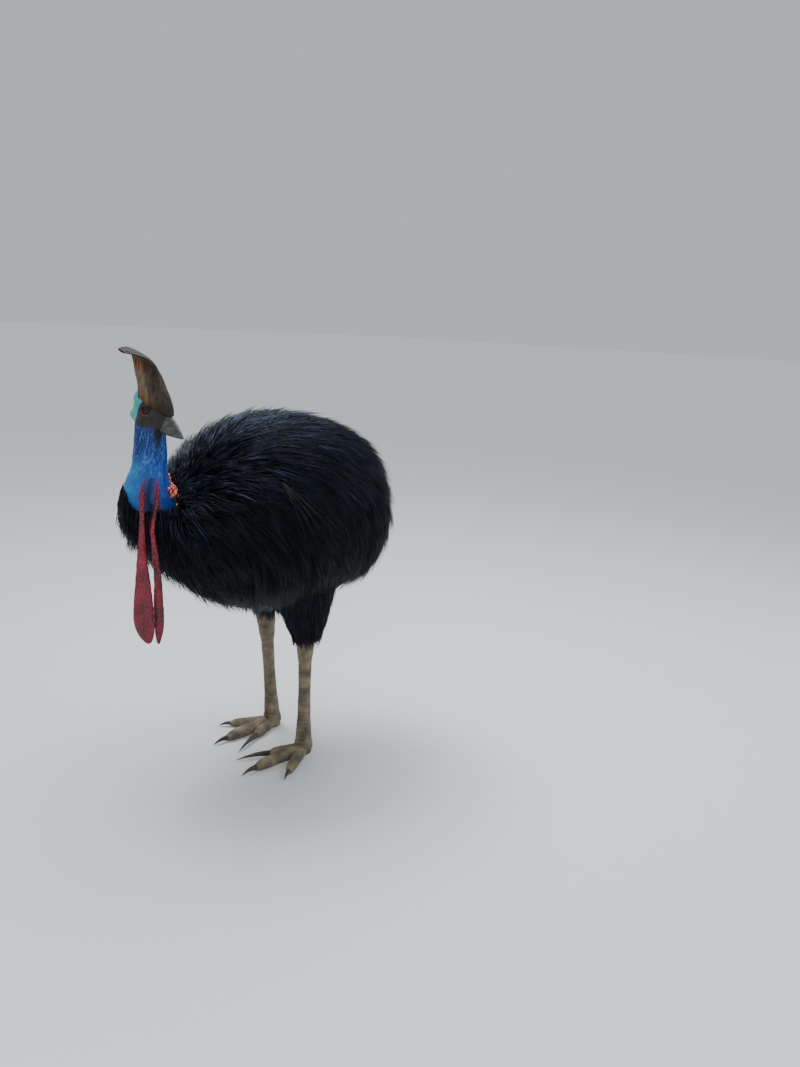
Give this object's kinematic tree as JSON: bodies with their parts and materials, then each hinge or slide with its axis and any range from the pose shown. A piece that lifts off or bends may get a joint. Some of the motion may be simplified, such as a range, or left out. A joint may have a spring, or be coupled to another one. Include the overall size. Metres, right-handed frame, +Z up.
{
  "type": "cassowary, life-size still model",
  "caption": "Life-size still model of a standing cassowary: black hair-like coat, blue neck with red wattles, tall flopped horny casque, clawed feet, head turned aside.",
  "frame": {"origin": "on the ground, under the middle of the bird's length and width", "axes": "+Z up, -Y the way the body faces, +X the bird's left"},
  "size_m": [0.5666, 0.845, 1.1973],
  "materials": {
    "coat": "long hair-like feathers, black with a faint blue sheen",
    "quill": "smooth bare quills, black",
    "head_skin": "bare skin, dark on the face and turquoise behind the eye, satin",
    "neck_skin": "bare wrinkled skin, deep blue above and azure below, satin",
    "wattle_skin": "bare pimpled skin, crimson, satin",
    "casque_horn": "streaked brown horn, satin",
    "bill_horn": "dark grey horn, satin",
    "eye_gloss": "wet, with an orange-brown iris",
    "leg_scales": "scaly skin, brown-grey with some yellow, satin",
    "claw_horn": "dark horn, polished by wear"
  },
  "bodies": {
    "root": {"bill_lower": "bill_horn", "bill_upper": "bill_horn", "casque": "casque_horn", "claw_inner_left": "claw_horn", "claw_inner_right": "claw_horn", "claw_middle_left": "claw_horn", "claw_middle_right": "claw_horn", "claw_outer_left": "claw_horn", "claw_outer_right": "claw_horn", "eye_left": "eye_gloss", "eye_right": "eye_gloss", "head": "head_skin", "neck_lower": "neck_skin", "neck_upper": "neck_skin", "rump": "coat", "shank_left": "leg_scales", "shank_right": "leg_scales", "thigh_left": "coat", "thigh_right": "coat", "toe_inner_left": "leg_scales", "toe_inner_right": "leg_scales", "toe_middle_left": "leg_scales", "toe_middle_right": "leg_scales", "toe_outer_left": "leg_scales", "toe_outer_right": "leg_scales", "torso": "coat", "wattle_left": "wattle_skin", "wattle_right": "wattle_skin", "wing_left": "quill", "wing_right": "quill"}
  },
  "joints": []
}
